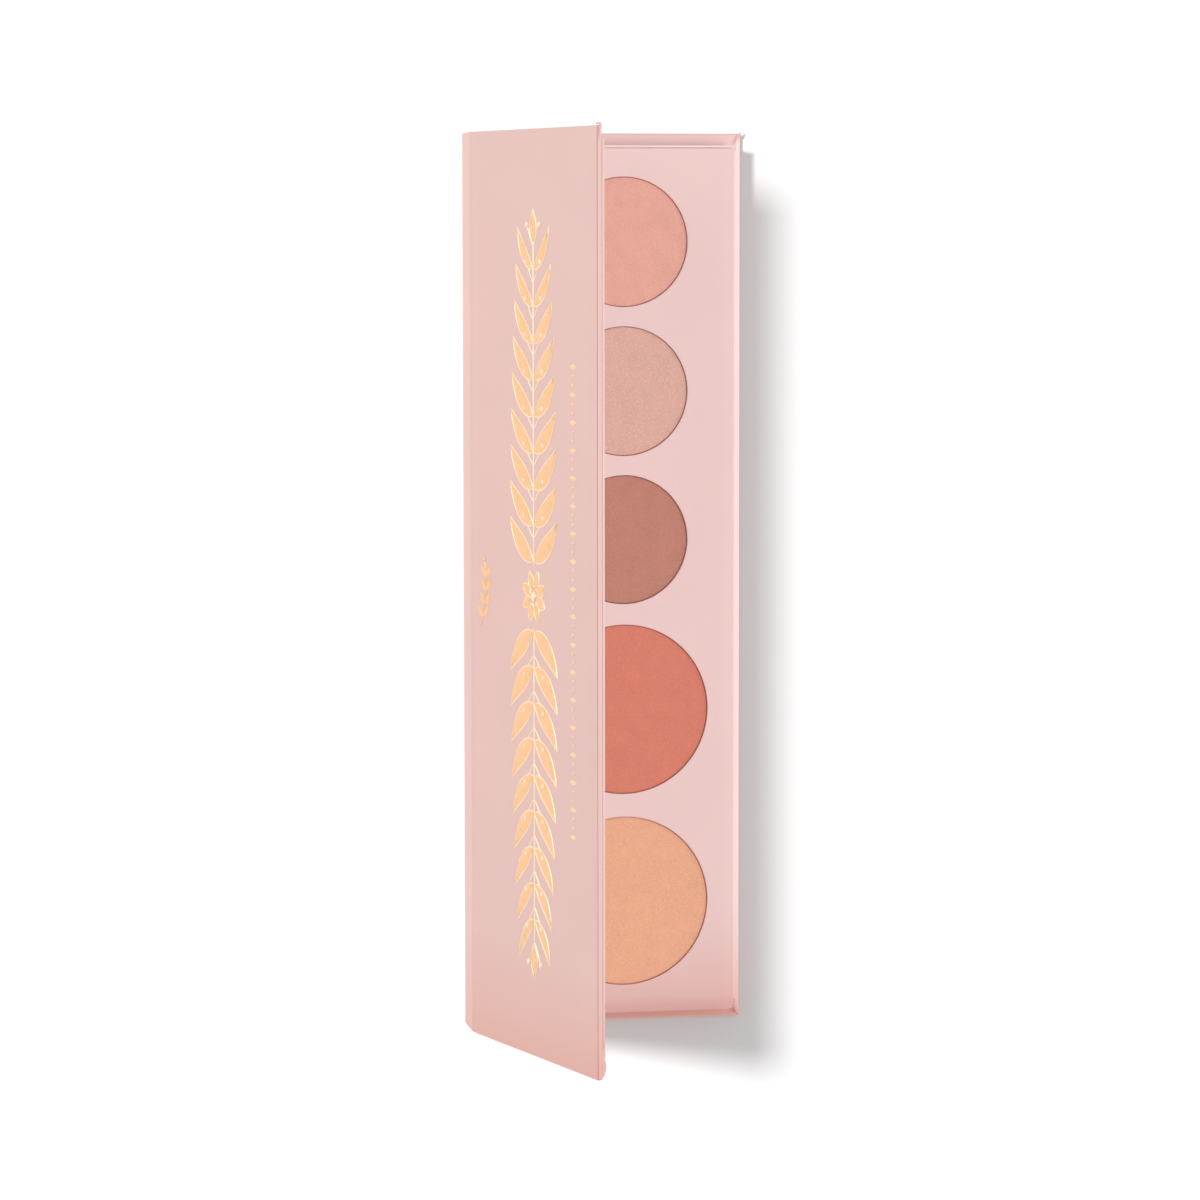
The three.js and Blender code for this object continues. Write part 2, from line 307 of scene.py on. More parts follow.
def strip(path, y0, y1, thickness, steps=60):
    """A thin sheet whose section follows path, a list of (x, z), and that runs from y0 to y1."""
    left, right = [], []
    for k, point in enumerate(path):
        normal = left_of(direction(path, k))
        left.append(point + normal * thickness / 2)
        right.append(point - normal * thickness / 2)
    section = left + right[::-1]
    rings = []
    for i in range(steps + 1):
        y = y0 + (y1 - y0) * i / steps
        rings.append([Vector((p.x, y, p.y)) for p in section])
    return loft(rings)


def smooth_path(points, per=6):
    """A Catmull-Rom curve through the points."""
    path = []
    last = len(points) - 1
    for k in range(last):
        p0, p1, p2, p3 = points[max(k - 1, 0)], points[k], points[k + 1], points[min(k + 2, last)]
        for i in range(per):
            t = i / per
            path.append(0.5 * ((2 * p1) + (p2 - p0) * t + (2 * p0 - 5 * p1 + 4 * p2 - p3) * t * t
                               + (3 * p1 - p0 - 3 * p2 + p3) * t ** 3))
    path.append(points[-1])
    return path


def pleat(corner, steps, half_widths, across):
    """A narrow fold of paper past a cover's corner. Its points are steps from the corner, and
    half_widths say how wide it is in the across direction, all in mm."""
    path = smooth_path([Vector(corner) + Vector(step) * MM for step in steps], 5)
    across = Vector(across)
    rings = []
    for k, point in enumerate(path):
        share = k / (len(path) - 1) * (len(half_widths) - 1)
        low = min(int(share), len(half_widths) - 2)
        half = half_widths[low] + (half_widths[low + 1] - half_widths[low]) * (share - low)
        half *= MM
        along = direction(path, k)
        side = (across - along * across.dot(along)).normalized()
        normal = along.cross(side)
        corners = box_corners(-half, half, -PAPER_T / 2, PAPER_T / 2, 0, PAPER_T * 0.35)
        rings.append([point + side * p.x + normal * p.y for p in outline(corners, arc_steps=2)])
    return loft(rings)


# ---- Materials ----
def new_material(name):
    material = bpy.data.materials.new(name)
    material.use_nodes = True
    tree = material.node_tree
    return material, tree, tree.nodes["Principled BSDF"]


def object_coords(tree, stretch=(1, 1, 1)):
    coords = tree.nodes.new("ShaderNodeTexCoord")
    mapping = tree.nodes.new("ShaderNodeMapping")
    mapping.inputs["Scale"].default_value = stretch
    tree.links.new(coords.outputs["Object"], mapping.inputs["Vector"])
    return mapping.outputs["Vector"]


def grain_of(tree, size, detail=3.0, rough=0.55, stretch=(1, 1, 1)):
    """A noise whose features are about size metres across, and longer where stretch is under 1."""
    node = tree.nodes.new("ShaderNodeTexNoise")
    node.inputs["Scale"].default_value = 1 / size
    node.inputs["Detail"].default_value = detail
    node.inputs["Roughness"].default_value = rough
    tree.links.new(object_coords(tree, stretch), node.inputs["Vector"])
    return node.outputs["Fac"]


def remap(tree, value, low, high, start=0.3, stop=0.7):
    """Value taken from start..stop to low..high."""
    node = tree.nodes.new("ShaderNodeMapRange")
    node.inputs["From Min"].default_value = start
    node.inputs["From Max"].default_value = stop
    node.inputs["To Min"].default_value = low
    node.inputs["To Max"].default_value = high
    tree.links.new(value, node.inputs["Value"])
    return node.outputs["Result"]


def add_share(tree, first, second, share):
    """first + second * share"""
    node = tree.nodes.new("ShaderNodeMath")
    node.operation = "MULTIPLY_ADD"
    tree.links.new(second, node.inputs[0])
    node.inputs[1].default_value = share
    tree.links.new(first, node.inputs[2])
    return node.outputs[0]


def mixed(tree, factor, first, second):
    """A colour between first and second, each a colour or a node's output."""
    node = tree.nodes.new("ShaderNodeMix")
    node.data_type = "RGBA"
    tree.links.new(factor, node.inputs["Factor"])
    colors = [socket for socket in node.inputs if socket.type == "RGBA"]
    for socket, value in zip(colors, (first, second)):
        if isinstance(value, tuple):
            socket.default_value = (*value, 1)
        else:
            tree.links.new(value, socket)
    return next(socket for socket in node.outputs if socket.type == "RGBA")


def bump(tree, shader, height, distance, strength):
    node = tree.nodes.new("ShaderNodeBump")
    node.inputs["Strength"].default_value = strength
    node.inputs["Distance"].default_value = distance
    tree.links.new(height, node.inputs["Height"])
    tree.links.new(node.outputs["Normal"], shader.inputs["Normal"])


def scaled(color, factor):
    return tuple(min(1.0, c * factor) for c in color)


def toned(tree, value, color, dark, light):
    """The colour times dark to times light, as a noise value says."""
    return mixed(tree, remap(tree, value, 0, 1), scaled(color, dark), scaled(color, light))


def feed(tree, shader, color, roughness):
    tree.links.new(color, shader.inputs["Base Color"])
    tree.links.new(roughness, shader.inputs["Roughness"])


def painted_tail_shade(tree):
    """0 over most of the length, and up to 1 at the tail, where painted shade darkens the paper."""
    axes = tree.nodes.new("ShaderNodeSeparateXYZ")
    tree.links.new(object_coords(tree), axes.inputs["Vector"])
    share = remap(tree, axes.outputs["Y"], 0, 1, BACK[0].y + TAIL_SHADE_LENGTH, BACK[0].y)
    curve = tree.nodes.new("ShaderNodeMath")
    curve.operation = "POWER"
    tree.links.new(share, curve.inputs[0])
    curve.inputs[1].default_value = 1.6
    return curve.outputs[0]


def paper(name, color, roughness=0.42, tail_shade=TAIL_SHADE):
    """Coated cover paper: a faint cloudy tone, fine fibre grain, folds lightened by rubbed wear and
    a painted highlight, and painted shade at the tail.
    """
    material, tree, shader = new_material(name)
    cloud = grain_of(tree, 22 * MM, 1.0)
    fibre = grain_of(tree, 0.24 * MM, 4.0, 0.6, (1, 0.45, 1))
    tone = remap(tree, add_share(tree, cloud, fibre, 0.5), 0, 1, 0.55, 0.95)
    body = mixed(tree, tone, scaled(color, 0.988), scaled(color, 1.012))
    # painted shade: the paper darkens toward the tail
    tail_shaded = tuple(c * t for c, t in zip(color, tail_shade))
    body = mixed(tree, painted_tail_shade(tree), body, tail_shaded)
    geometry = tree.nodes.new("ShaderNodeNewGeometry")
    # lighter on sharp folds: rubbed wear and a painted highlight
    rub_and_highlight = remap(tree, geometry.outputs["Pointiness"], 0.0, 0.3, 0.52, 0.62)
    worn_and_highlit = mixed(tree, rub_and_highlight, body, scaled(color, 1.06))
    feed(tree, shader, worn_and_highlit, remap(tree, fibre, roughness - 0.04, roughness + 0.06))
    shader.inputs["Specular IOR Level"].default_value = 0.45
    bump(tree, shader, fibre, 0.010 * MM, 0.5)
    return material


def weave(tree, pitch):
    """The press cloth's crossed threads."""
    threads = None
    for axis in ("X", "Y"):
        wave = tree.nodes.new("ShaderNodeTexWave")
        wave.bands_direction = axis
        wave.inputs["Scale"].default_value = math.pi / 10 / pitch
        wave.inputs["Distortion"].default_value = 1.6
        wave.inputs["Detail"].default_value = 2.0
        tree.links.new(object_coords(tree), wave.inputs["Vector"])
        value = wave.outputs["Fac"]
        threads = value if threads is None else add_share(tree, threads, value, 1.0)
    return threads


def pressed_powder(name, color, shimmer):
    """Pressed powder: soft patches, loose grain, the press cloth's faint weave, mica flecks painted
    lighter as glints.
    """
    material, tree, shader = new_material(name)
    patch = grain_of(tree, 3.5 * MM, 2.0)
    grain = grain_of(tree, 0.42 * MM, 6.0, 0.8)
    tone = remap(tree, add_share(tree, grain, patch, 0.25), 0, 1, 0.46, 0.79)
    body = mixed(tree, tone, scaled(color, 0.90), scaled(color, 1.09))
    fleck = tree.nodes.new("ShaderNodeTexVoronoi")
    fleck.inputs["Scale"].default_value = 1 / (0.2 * MM)
    tree.links.new(object_coords(tree), fleck.inputs["Vector"])
    parts = tree.nodes.new("ShaderNodeSeparateColor")
    tree.links.new(fleck.outputs["Color"], parts.inputs["Color"])
    # mica flecks lightened in colour: painted glints
    glint_mask = remap(tree, parts.outputs["Red"], 0, shimmer, 0.88, 1.0)
    glinting = mixed(tree, glint_mask, body, scaled(color, 1.35))
    rough = 0.88 - 0.3 * shimmer
    feed(tree, shader, glinting, remap(tree, grain, rough - 0.08, rough + 0.08))
    shader.inputs["Specular IOR Level"].default_value = 0.25
    shader.inputs["Sheen Weight"].default_value = 0.08
    shader.inputs["Sheen Roughness"].default_value = 0.5
    height = add_share(tree, grain, weave(tree, 0.42 * MM), 0.12)
    bump(tree, shader, height, 0.035 * MM, 0.7)
    return material


def foil(name, color, roughness):
    """Hot-stamped foil: soft metal that follows the paper's ripple."""
    material, tree, shader = new_material(name)
    ripple = grain_of(tree, 1.4 * MM)
    feed(tree, shader, toned(tree, ripple, color, 0.93, 1.06),
         remap(tree, ripple, roughness - 0.06, roughness + 0.08))
    shader.inputs["Metallic"].default_value = 0.6
    bump(tree, shader, ripple, 0.02 * MM, 0.5)
    return material


def greyboard(name, color):
    """Recycled board: grey-brown pulp with light and dark flecks."""
    material, tree, shader = new_material(name)
    pulp = grain_of(tree, 0.5 * MM, 6.0, 0.7)
    feed(tree, shader, toned(tree, pulp, color, 0.75, 1.25), remap(tree, pulp, 0.85, 0.95))
    bump(tree, shader, pulp, 0.05 * MM, 1.0)
    return material


def bare_metal(name, color, roughness, stretch=(1, 1, 1)):
    """Metal with fine working marks, narrower along an axis whose stretch is over 1."""
    material, tree, shader = new_material(name)
    marks = grain_of(tree, 0.2 * MM, 4.0, 0.65, stretch)
    feed(tree, shader, toned(tree, marks, color, 0.92, 1.05),
         remap(tree, marks, roughness * 0.8, roughness * 1.3))
    shader.inputs["Metallic"].default_value = 1.0
    bump(tree, shader, marks, 0.006 * MM, 0.5)
    return material


def silvered(name):
    """Mirror sheet, with a breath of haze."""
    material, tree, shader = new_material(name)
    haze = grain_of(tree, 14 * MM, 4.0, 0.6)
    tint = mixed(tree, remap(tree, haze, 0, 1), (0.88, 0.90, 0.91), (0.93, 0.94, 0.945))
    feed(tree, shader, tint, remap(tree, haze, 0.015, 0.05))
    shader.inputs["Metallic"].default_value = 1.0
    return material


def tissue_tape(name, color):
    """Double-sided tissue tape."""
    material, tree, shader = new_material(name)
    tissue = grain_of(tree, 0.6 * MM, 5.0, 0.7, (1, 0.3, 1))
    feed(tree, shader, toned(tree, tissue, color, 0.88, 1.0), remap(tree, tissue, 0.45, 0.65))
    return material


# the tail factors below are painted shade that darkens each paper toward the tail
COVER = paper("cover_paper", (0.752, 0.496, 0.450), tail_shade=(0.98, 0.80, 0.75))
CARD_PAPER = paper("card_paper", (0.768, 0.530, 0.508), roughness=0.38,
                   tail_shade=(0.88, 0.66, 0.60))
# a lighter copy of the card paper: painted highlight on the fore-edge strip and the head lip, where
# those edges catch the light
HIGHLIT_PAPER = paper("painted_highlight_paper", (0.900, 0.710, 0.690), roughness=0.38,
                     tail_shade=(0.88, 0.66, 0.60))
# the base's turn-ins: a lighter copy of the cover paper for the light on their upturned faces, with
# strong painted shade at the tail beside the tray's wall
LIT_TURNED_PAPER = paper("turned_in_paper_lit_copy", (0.785, 0.555, 0.530), tail_shade=(0.80, 0.50, 0.43))
LINING_PAPER = paper("lining_paper", (0.74, 0.51, 0.47), roughness=0.5)
GOLD = foil("gold_foil", (0.93, 0.56, 0.29), 0.36)
# a lighter copy of the gold for the rims, stems and beads: a painted highlight on the stamped edges
HIGHLIT_GOLD = foil("painted_highlight_gold_foil", (1.0, 0.77, 0.56), 0.34)
PALE_GOLD = foil("pale_gold_foil", (0.96, 0.64, 0.40), 0.38)
BOARD = greyboard("greyboard", (0.34, 0.31, 0.27))
PAN_METAL = bare_metal("pan_aluminium", (0.78, 0.79, 0.80), 0.32, (1, 6, 1))
MAGNET_METAL = bare_metal("magnet_nickel", (0.72, 0.71, 0.69), 0.2)
MIRROR_FACE = silvered("mirror_sheet")
TAPE = tissue_tape("tissue_tape", (0.85, 0.83, 0.76))
SHADES = [
    ("powder_peach", (0.770, 0.380, 0.308), 0.25),
    ("powder_champagne", (0.690, 0.398, 0.327), 0.7),
    ("powder_rosewood", (0.510, 0.214, 0.160), 0.45),
    ("powder_coral", (0.672, 0.209, 0.145), 0.2),
    ("powder_apricot", (0.800, 0.398, 0.250), 0.5),
]


def dress_cad_nodes():
    """Carried-over CAD nodes get their own materials."""
    finishes = {"mirror_tape": TAPE}
    for node in ("back_board", "spine_board", "lid_board", "tray_floor", "seat_layer_lower",
                 "seat_layer_upper"):
        finishes[node] = BOARD
    for body in ("tray", "lid"):
        for end in ("head", "tail"):
            finishes[f"{body}_magnet_{end}"] = MAGNET_METAL
    for i in PAN_NUMBERS:
        finishes[f"pan_{i}"] = PAN_METAL
        finishes[f"pan_tape_{i}"] = TAPE
    for node, material in finishes.items():
        slots = frame["nodes"][node].data.materials
        slots.clear()
        slots.append(material)


# ---- Turned-in paper and folded corners, shared by both covers ----
def turn_in(x0, x1, y_edge, end, face, up):
    """Paper turned in over a cover's head (end 1) or tail (end -1): a mitred layer, and two
    more that stop short of the fore-edge. face is the height of the surface that they lie on,
    and up is 1 or -1, the way it faces."""
    y_out = y_edge - end * EDGE_R
    y_in = y_edge - end * OVERHANG * 1.4
    shapes = [[(x0, y_in), (x1 - MITRE, y_in), (x1 - EDGE_R, y_out), (x0, y_out)]]
    for stop in LAYER_STOPS:
        shapes.append([(x0, y_in), (x1 - stop, y_in), (x1 - stop, y_out), (x0, y_out)])
    parts = []
    for layer, shape in enumerate(shapes):
        setback = end * 0.08 * MM * layer
        profile = ((1, -0.5), (1, layer + 0.7), (0.4, layer + 0.95), (0, layer + 1.0))
        rings = []
        for spread, rise in profile:
            grow = 0.04 * MM * spread
            corners = []
            for (x, y), (sx, sy) in zip(shape, ((-1, -1), (1, -1), (1, 1), (-1, 1))):
                y_here = y - (setback if sy > 0 else 0)
                corners.append((x + sx * grow, y_here + end * sy * grow, TIGHT_R))
            z = face + up * LAYER_T * rise / 2
            rings.append([Vector((p.x, p.y, z)) for p in outline(corners, arc_steps=2)])
        parts.append(loft(rings))
    return parts


def turn_ins(x0, x1, face, up):
    """The turned-in paper at a cover's two ends."""
    parts = []
    for end, y_edge in ENDS:
        parts += turn_in(x0, x1, y_edge, end, face, up)
    return parts


# ---- Case: back cover and spine ----
def case_section(inset):
    """The L of the back cover and the standing spine."""
    low, high = BACK
    r = max(EDGE_R - inset, LEAST_R)
    inner_x, inner_z = SPINE[1].x - inset, high.z - inset
    top = SPINE[1].z - inset
    corners = [
        (low.x + inset, low.z + inset, r), (high.x - inset, low.z + inset, r),
        (high.x - inset, inner_z, r), (inner_x, inner_z, TIGHT_R + inset),
        (inner_x, top, r), (low.x + inset, top, r),
    ]
    return outline(corners, {0: 20, 2: 20, 3: 3, 5: 3})


def fore_edge_turn_in():
    """The paper turned in along the back cover's fore-edge, up to the tray."""
    x0, x1 = WALL[1].x - 0.2 * MM, BACK[1].x - 0.12 * MM
    y0, y1 = BACK[0].y + EDGE_R, BACK[1].y - EDGE_R
    rings = []
    for inset, rise in ((0, -0.5), (0, 0.3), (0.3, 0.5), (0.8, 0.6)):
        corners = box_corners(x0, x1, y0, y1, LAYER_T * inset, TIGHT_R)
        z = BACK[1].z + LAYER_T * rise
        rings.append([Vector((p.x, p.y, z)) for p in outline(corners, {1: 60, 3: 60}, 2)])
    return loft(rings)


def build_case():
    y0, y1 = BACK[0].y, BACK[1].y
    x1, top = BACK[1].x, BACK[1].z
    case = new_piece("case_cover", [sweep(case_section, y0, y1)], COVER, "base",
                     ("back_wrap", "spine_wrap"))
    settle_paper(case, 3.1)
    # the turn-ins are in the retoned copy of the cover paper, with painted light and shade
    new_piece("case_turn_ins", turn_ins(RAIL[0].x + EDGE_R, x1, top, 1), LIT_TURNED_PAPER, "base")
    # the fore-edge strip is in the lighter paper, a painted highlight
    new_piece("case_fore_edge_turn_in", [fore_edge_turn_in()], HIGHLIT_PAPER, "base")

    head = ((-1.7, -2.5, 0.02), (-1.0, -1.4, 0.34), (-0.40, -0.4, 0.50), (0.10, 0.30, 0.30))
    tail = ((-1.9, 3.4, 0.05), (-1.25, 2.4, 0.90), (-0.55, 1.2, 0.95), (0.02, 0.1, 0.10))
    folds = [pleat((x1, y1, top), head, (0.06, 0.20, 0.26, 0.08), (0.9, -0.8, 0.2)),
             pleat((x1, y0, top), tail, (0.06, 0.34, 0.50, 0.14), (0.9, 0.6, 0.3))]
    new_piece("case_corner_folds", folds, COVER, "base")


# ---- Hinge: outer fold, rail and inner lining ----
def lid_point(x, z):
    """(x, z) in the row frame of a point of the lid's section."""
    p = LID_TO_ROW @ Vector((x, 0, z))
    return Vector((p.x, p.z))


def build_hinge_fold():
    """The cover paper's outer strip, which bends where spine and lid meet."""
    sinks = ((2.4, 1.3), (1.7, 0.9), (1.1, 0.6), (0.6, 0.45), (0.3, 0.4), (0.12, 0.4))
    below = [Vector((HINGE.x + FOLD_SKIN * sink, HINGE.z - d * MM)) for d, sink in sinks]
    above = [lid_point(d * MM, -FOLD_SKIN * sink) for d, sink in reversed(sinks)]
    y0, y1 = BACK[0].y + EDGE_R, BACK[1].y - EDGE_R
    fold = new_piece("hinge_fold", [strip(below + above, y0, y1, FOLD_SKIN)], COVER, None,
                     angle=SHEET_ANGLE)
    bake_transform(fold)


def build_hinge_turn_ins():
    """The cover paper turned in over the joint at the head and the tail, beyond the lining."""
    inner = SPINE[1].x + PAPER_T * 0.3
    below = [Vector((inner, HINGE.z - d * MM)) for d in (4.0, 2.6, 1.5, 0.7)]
    depth = LID[0].z - PAPER_T * 0.3
    above = [lid_point(LID_BOARD[0].x + d * MM, depth) for d in (0.3, 1.2, 2.6, 4.5)]
    path = smooth_path(below + above)
    parts = []
    for low, high in ((BACK[0].y + EDGE_R, RAIL[0].y), (RAIL[1].y, BACK[1].y - EDGE_R)):
        parts.append(strip(path, low, high, PAPER_T * 0.8, 6))
    sheets = new_piece("hinge_turn_ins", parts, COVER, None, angle=SHEET_ANGLE)
    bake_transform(sheets)


def build_hinge_ends():
    """The folded paper that closes the joint at the head and the tail, as thick as the cover."""
    thickness = BACK[1].z - BACK[0].z
    middle = thickness / 2
    below = [Vector((HINGE.x + middle, HINGE.z - d * MM)) for d in (1.2, 0.8, 0.4)]
    above = [lid_point(d * MM, -middle) for d in (0.7, 1.3, 2.0)]
    path = smooth_path(below + above)
    parts = []
    for end, y_edge in ENDS:
        outer, inner = y_edge - end * EDGE_R * 0.5, y_edge - end * OVERHANG * 0.5
        parts.append(strip(path, inner, outer, thickness - EDGE_R * 0.3, 4))
    folds = new_piece("hinge_end_folds", parts, COVER, None, angle=SHEET_ANGLE)
    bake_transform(folds)


def build_rail():
    """The paper-covered filler between the spine and the tray."""
    radius = 0.25 * MM

    def section(inset):
        corners = box_corners(RAIL[0].x, RAIL[1].x, RAIL[0].z, RAIL[1].z, inset, radius)
        return outline(corners, {0: 4, 2: 4})

    rail = new_piece("hinge_rail_block", [sweep(section, RAIL[0].y, RAIL[1].y, radius)],
                     CARD_PAPER, "base", ("hinge_rail",))
    settle_paper(rail, 8.3)


def build_lining():
    """The paper that lines the joint: over the rail, up the spine and on to the lid."""
    level = RAIL[1].z + PAPER_T
    inner = LINING[0].x + PAPER_T / 2
    over_rail = [(RAIL[1].x - 0.1 * MM, 0), (RAIL[1].x - 3 * MM, 0), (inner + 1.6 * MM, 0),
                 (inner + 0.5 * MM, 0.05 * MM), (inner + 0.08 * MM, 0.45 * MM),
                 (inner, 1.1 * MM)]
    below = [Vector((x, level + rise)) for x, rise in over_rail]
    below.append(Vector((inner, LINING[1].z - 0.25 * MM)))
    depth = LID_LINING[0].z + PAPER_T / 2
    above = [lid_point(LID_LINING[0].x + d * MM, depth) for d in (0.25, 1.5, 4.0, 8.3)]
    y0, y1 = RAIL[0].y + 0.1 * MM, RAIL[1].y - 0.1 * MM
    sheet = strip(smooth_path(below + above), y0, y1, PAPER_T * 0.8)
    lining = new_piece("hinge_lining_strip", [sheet], LINING_PAPER, None,
                       ("hinge_lining", "lid_hinge_lining"), angle=SHEET_ANGLE)
    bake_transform(lining)


# ---- Tray: wall, head lip and top card ----
def head_lip():
    """The wall's raised paper edge at the head, a little wavy and curled up at the fore-edge."""
    steps = 110
    root = SEAT[1].z - 1.0 * MM
    shelf, foot = CARD[1].z - GROOVE_DEPTH, CARD[1].y + 0.02 * MM
    x0, x1 = WALL[0].x + 0.3 * MM, WALL[1].x - 0.1 * MM
    arc = [math.pi * k / 6 for k in range(7)]
    rings = []
    for i in range(steps + 1):
        share = i / steps
        x = x0 + (x1 - x0) * share
        wave = LIP_WAVE * noise.noise(Vector((x / (11 * MM), 4.2, 0)))
        half = LIP_T / 2 + 0.05 * MM * noise.noise(Vector((x / (7 * MM), 9.7, 0)))
        curl = max(0.0, (share - (1 - CURL_SHARE)) / CURL_SHARE) ** 2
        top = WALL[1].z - 0.07 * MM + wave + LIP_CURL * curl
        middle = WALL[1].y - half + wave * 0.5 - 0.03 * MM
        ring = [Vector((x, middle + half, root))]
        ring += [Vector((x, middle + half * math.cos(a), top - half + half * math.sin(a)))
                 for a in arc]
        ring += [Vector((x, y, z)) for y, z in
                 ((middle - half, shelf), (foot, shelf), (foot, root))]
        rings.append(ring)
    return loft(rings)


def build_tray_wall():
    wall = rounded_frame(WALL, WALL_T, WALL[0].z, SEAT[1].z, edge_r=0.12 * MM,
                         outer_r=0.5 * MM, inner_r=0.1 * MM)
    new_piece("tray_wall", [wall], CARD_PAPER, "base", ("tray_collar",),
              angle=CARD_ANGLE)
    # the lip is in the lighter paper, a painted highlight
    new_piece("tray_head_lip", [head_lip()], HIGHLIT_PAPER, "base",
              angle=CARD_ANGLE)


def card_height(x, y):
    """The card's top: level inside, curved down at its long sides and its tail."""
    thickness = CARD[1].z - CARD[0].z
    edges = ((x - CARD[0].x, CARD_DROP), (CARD[1].x - x, CARD_DROP), (y - CARD[0].y, TAIL_DROP))
    drop = sum(depth * max(0.0, 1 - away / CARD_SOFT) ** 2.2 for away, depth in edges)
    drop = min(drop, thickness * 0.9)
    nearest = min(away for away, _ in edges)
    corner = 0.4 * CARD_EDGE_R * max(0.0, 1 - nearest / CARD_EDGE_R) ** 2
    bow = 0.010 * MM * (noise.noise(Vector((x / (14 * MM), y / (14 * MM), 1.7))) - 1)
    return CARD[1].z - min(drop + corner, thickness * 0.93) + bow


def on_card(point, offset=0.0):
    return Vector((point[0], point[1], card_height(point[0], point[1]) + offset))


def steps_between(start, end, count):
    return [start + (end - start) * i / count for i in range(count + 1)]


def card_cell(center, hole_r, xs, ys):
    """One window's stretch of card: rings from the round window out to the rectangle's edge,
    which has a point at each of xs and ys."""
    border = [Vector((x, ys[0])) for x in xs[:-1]] + [Vector((xs[-1], y)) for y in ys[:-1]]
    border += [Vector((x, ys[-1])) for x in xs[:0:-1]] + [Vector((xs[0], y)) for y in ys[:0:-1]]
    spokes = [(b - center).normalized() for b in border]
    rings = [[Vector((*(center + s * hole_r), CARD[0].z)) for s in spokes]]
    for outward, up in quarter():
        radius = hole_r + WINDOW_R * outward
        rings.append([on_card(center + s * radius, -WINDOW_R * (1 - up)) for s in spokes])
    for share in (0.05, 0.14, 0.27, 0.42, 0.58, 0.73, 0.87, 1.0):
        rings.append([on_card((center + s * (hole_r + WINDOW_R)).lerp(b, share))
                      for s, b in zip(spokes, border)])
    return loft(rings, capped=False)


def card_grid(xs, ys):
    """A plain stretch of card with a point at each of xs and ys."""
    points = [on_card((x, y)) for x in xs for y in ys]
    wide = len(ys)
    faces = [(i * wide + j, i * wide + j + 1, (i + 1) * wide + j + 1, (i + 1) * wide + j)
             for i in range(len(xs) - 1) for j in range(wide - 1)]
    return points, faces


def close_card(mesh):
    """Drops the card's outer edge to its underside and closes the underside."""
    bm = bmesh.new()
    bm.from_mesh(mesh)
    bmesh.ops.remove_doubles(bm, verts=bm.verts, dist=SEAM_DISTANCE)
    bottom = CARD[0].z
    rim = [e for e in bm.edges if e.is_boundary and e.verts[0].co.z > bottom + 0.05 * MM]
    walls = bmesh.ops.extrude_edge_only(bm, edges=rim)["geom"]
    for item in walls:
        if isinstance(item, bmesh.types.BMVert):
            item.co.z = bottom
    open_edges = [e for e in bm.edges if e.is_boundary]
    bmesh.ops.triangle_fill(bm, use_beauty=True, edges=open_edges)
    bm.to_mesh(mesh)
    bm.free()
    finish_mesh(mesh, CARD_ANGLE)


def build_card():
    centers = [((low + high) / 2).to_2d() for low, high in PANS]
    radii = [(high.y - low.y) / 2 - PAN_LIP for low, high in PANS]
    cuts = [CARD[1].y]
    for k in range(len(PANS) - 1):
        cuts.append((centers[k].y - radii[k] + centers[k + 1].y + radii[k + 1]) / 2)
    cuts.append(CARD[0].y + CARD_SOFT)
    core_xs = steps_between(CARD[0].x + CARD_SOFT, CARD[1].x - CARD_SOFT, 40)
    left_xs = [CARD[0].x + inset * MM for inset in CARD_INSETS][::-1]
    right_xs = [CARD[1].x - inset * MM for inset in CARD_INSETS]
    parts = []
    for center, radius, high, low in zip(centers, radii, cuts, cuts[1:]):
        ys = steps_between(low, high, round((high - low) / MM))
        parts.append(card_cell(center, radius, core_xs, ys))
        parts += [card_grid(left_xs, ys), card_grid(right_xs, ys)]
    tail_ys = [CARD[0].y + inset * MM for inset in CARD_INSETS][::-1]
    parts.append(card_grid(left_xs[:-1] + core_xs + right_xs[1:], tail_ys))
    card = new_piece("top_card", parts, CARD_PAPER, "base", ("tray_card",))
    close_card(card.data)


# ---- Powder cakes ----
def circle(center, radius, z, segments):
    angles = [2 * math.pi * k / segments for k in range(segments)]
    return [Vector((center.x + radius * math.cos(a), center.y + radius * math.sin(a), z))
            for a in angles]


def build_powder(number, cake, pan, slot, color, shimmer):
    """A low crown that stands up in its window, with its grain in the surface."""
    center = (cake[0] + cake[1]) / 2
    radius = (cake[1].y - cake[0].y) / 2
    rim = pan[1].z - 0.05 * MM
    crown = cake[1].z - rim
    window = (pan[1].y - pan[0].y) / 2 - PAN_LIP - 0.03 * MM
    segments, top_rings = 132, 46
    rings = [circle(center, radius, cake[0].z, segments)]
    shares = [1.0]
    shares += [(window - CAKE_ROUND * inside) / radius for inside in (-0.1, 0.25, 0.5, 0.75)]
    shares += [(window - CAKE_ROUND) / radius * (1 - k / top_rings) for k in range(top_rings)]
    for share in shares:
        ring = circle(center, radius * share, rim, segments)
        inside = min(1.0, max(0.0, (window - radius * share) / CAKE_ROUND))
        for p in ring:
            grain = noise.noise(Vector((p.x, p.y, number)) / (0.55 * MM))
            slow = noise.noise(Vector((p.x, p.y, number * MM)) / (6 * MM))
            p.z += crown * (1 - share ** 2) * 0.7 + CAKE_RISE * math.sin(math.pi / 2 * inside)
            p.z += 0.012 * MM * grain + 0.012 * MM * slow - 0.025 * MM
        rings.append(ring)
    new_piece(f"pressed_powder_{number}", [loft(rings)], pressed_powder(slot, color, shimmer),
              "base", (f"powder_{number}",), angle=SHEET_ANGLE)


